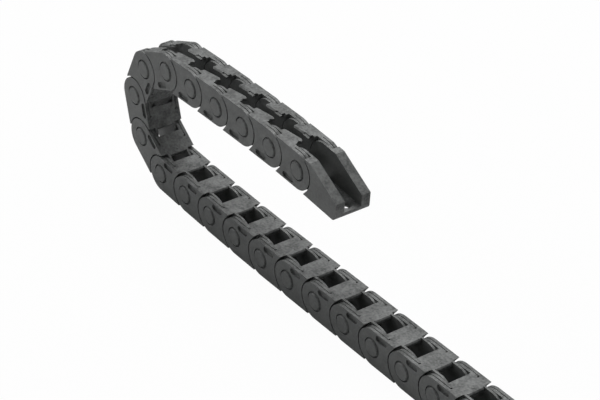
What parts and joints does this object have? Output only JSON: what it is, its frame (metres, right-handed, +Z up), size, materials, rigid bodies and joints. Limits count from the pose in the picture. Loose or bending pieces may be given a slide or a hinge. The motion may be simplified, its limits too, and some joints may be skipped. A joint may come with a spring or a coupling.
{
  "type": "cable drag chain",
  "caption": "Semi-enclosed cable drag chain of hinged link frames with snap-in pins, bent into a U between a moving end bracket and a fixed end bracket; guides cables on moving machine axes.",
  "frame": {"origin": "middle of the fixed bracket's two screw holes, on its underside", "axes": "+X along the lower run towards the fixed bracket's free end, +Y across the chain's width, +Z up from the face the lower run lies on to the upper run"},
  "size_m": [0.3031, 0.0184, 0.0775],
  "materials": {
    "nylon": "moulded glass-filled nylon, black, satin to matt"
  },
  "bodies": {
    "moving_bracket": {"moving_bracket": "nylon"},
    "link_01": {"link_01": "nylon"},
    "link_02": {"link_02": "nylon"},
    "link_03": {"link_03": "nylon"},
    "link_04": {"link_04": "nylon"},
    "link_05": {"link_05": "nylon"},
    "link_06": {"link_06": "nylon"},
    "link_07": {"link_07": "nylon"},
    "link_08": {"link_08": "nylon"},
    "link_09": {"link_09": "nylon"},
    "link_10": {"link_10": "nylon"},
    "link_11": {"link_11": "nylon"},
    "link_12": {"link_12": "nylon"},
    "link_13": {"link_13": "nylon"},
    "link_14": {"link_14": "nylon"},
    "link_15": {"link_15": "nylon"},
    "link_16": {"link_16": "nylon"},
    "link_17": {"link_17": "nylon"},
    "link_18": {"link_18": "nylon"},
    "link_19": {"link_19": "nylon"},
    "link_20": {"link_20": "nylon"},
    "link_21": {"link_21": "nylon"},
    "fixed_bracket": {"fixed_bracket": "nylon"}
  },
  "joints": [
    {"name": "pivot_21", "type": "hinge", "parent": "fixed_bracket", "child": "link_21", "pos_m": [-0.02125, 0, 0.0087], "axis": [0, 1, 0], "range_deg": [0, 41.85]},
    {"name": "pivot_20", "type": "hinge", "parent": "link_21", "child": "link_20", "pos_m": [-0.04125, 0, 0.0087], "axis": [0, 1, 0], "range_deg": [0, 41.85]},
    {"name": "pivot_19", "type": "hinge", "parent": "link_20", "child": "link_19", "pos_m": [-0.06125, 0, 0.0087], "axis": [0, 1, 0], "range_deg": [0, 41.85]},
    {"name": "pivot_18", "type": "hinge", "parent": "link_19", "child": "link_18", "pos_m": [-0.08125, 0, 0.0087], "axis": [0, 1, 0], "range_deg": [0, 41.85]},
    {"name": "pivot_17", "type": "hinge", "parent": "link_18", "child": "link_17", "pos_m": [-0.10125, 0, 0.0087], "axis": [0, 1, 0], "range_deg": [0, 41.85]},
    {"name": "pivot_16", "type": "hinge", "parent": "link_17", "child": "link_16", "pos_m": [-0.12125, 0, 0.0087], "axis": [0, -1, 0], "range_deg": [-41.85, 0]},
    {"name": "pivot_15", "type": "hinge", "parent": "link_16", "child": "link_15", "pos_m": [-0.14125, 0, 0.0087], "axis": [0, 1, 0], "range_deg": [0, 41.85]},
    {"name": "pivot_14", "type": "hinge", "parent": "link_15", "child": "link_14", "pos_m": [-0.16125, 0, 0.0087], "axis": [0, -1, 0], "range_deg": [-41.85, 0]},
    {"name": "pivot_13", "type": "hinge", "parent": "link_14", "child": "link_13", "pos_m": [-0.18125, 0, 0.0087], "axis": [0, 1, 0], "range_deg": [-1, 40.85]},
    {"name": "pivot_12", "type": "hinge", "parent": "link_13", "child": "link_12", "pos_m": [-0.20125, 0, 0.00905], "axis": [0, -1, 0], "range_deg": [-41.25, 0.6]},
    {"name": "pivot_11", "type": "hinge", "parent": "link_12", "child": "link_11", "pos_m": [-0.22124, 0, 0.00961], "axis": [0, 1, 0], "range_deg": [-0.6, 41.25]},
    {"name": "pivot_10", "type": "hinge", "parent": "link_11", "child": "link_10", "pos_m": [-0.24122, 0, 0.01038], "axis": [0, 1, 0], "range_deg": [-1, 40.85]},
    {"name": "pivot_09", "type": "hinge", "parent": "link_10", "child": "link_09", "pos_m": [-0.26119, 0, 0.01149], "axis": [0, 1, 0], "range_deg": [-34.44, 7.41]},
    {"name": "pivot_08", "type": "hinge", "parent": "link_09", "child": "link_08", "pos_m": [-0.27703, 0, 0.02371], "axis": [0, 1, 0], "range_deg": [-38.81, 3.04]},
    {"name": "pivot_07", "type": "hinge", "parent": "link_08", "child": "link_07", "pos_m": [-0.28172, 0, 0.04315], "axis": [0, 1, 0], "range_deg": [-41.25, 0.6]},
    {"name": "pivot_06", "type": "hinge", "parent": "link_07", "child": "link_06", "pos_m": [-0.27242, 0, 0.06086], "axis": [0, 1, 0], "range_deg": [-40.85, 1]},
    {"name": "pivot_05", "type": "hinge", "parent": "link_06", "child": "link_05", "pos_m": [-0.25381, 0, 0.06817], "axis": [0, 1, 0], "range_deg": [-20.08, 21.77]},
    {"name": "pivot_04", "type": "hinge", "parent": "link_05", "child": "link_04", "pos_m": [-0.23381, 0, 0.06865], "axis": [0, 1, 0], "range_deg": [-1, 40.85]},
    {"name": "pivot_03", "type": "hinge", "parent": "link_04", "child": "link_03", "pos_m": [-0.21381, 0, 0.06878], "axis": [0, 1, 0], "range_deg": [-0.6, 41.25]},
    {"name": "pivot_02", "type": "hinge", "parent": "link_03", "child": "link_02", "pos_m": [-0.19381, 0, 0.0687], "axis": [0, 1, 0], "range_deg": [-1, 40.85]},
    {"name": "pivot_01", "type": "hinge", "parent": "link_02", "child": "link_01", "pos_m": [-0.17382, 0, 0.06827], "axis": [0, -1, 0], "range_deg": [-39.8, 2.05]},
    {"name": "pivot_00", "type": "hinge", "parent": "link_01", "child": "moving_bracket", "pos_m": [-0.15385, 0, 0.06713], "axis": [0, -1, 0], "range_deg": [-39.95, 1.9]}
  ],
  "couplings": [
    {"joint": "pivot_06", "follows": "pivot_10", "ratio": -1},
    {"joint": "pivot_05", "follows": "pivot_10", "ratio": -0.49},
    {"joint": "pivot_07", "follows": "pivot_11", "ratio": -1},
    {"joint": "pivot_02", "follows": "pivot_11", "ratio": 0.99},
    {"joint": "pivot_08", "follows": "pivot_12", "ratio": 0.94},
    {"joint": "pivot_03", "follows": "pivot_12", "ratio": -1},
    {"joint": "pivot_09", "follows": "pivot_13", "ratio": -0.84},
    {"joint": "pivot_04", "follows": "pivot_13", "ratio": 1}
  ]
}
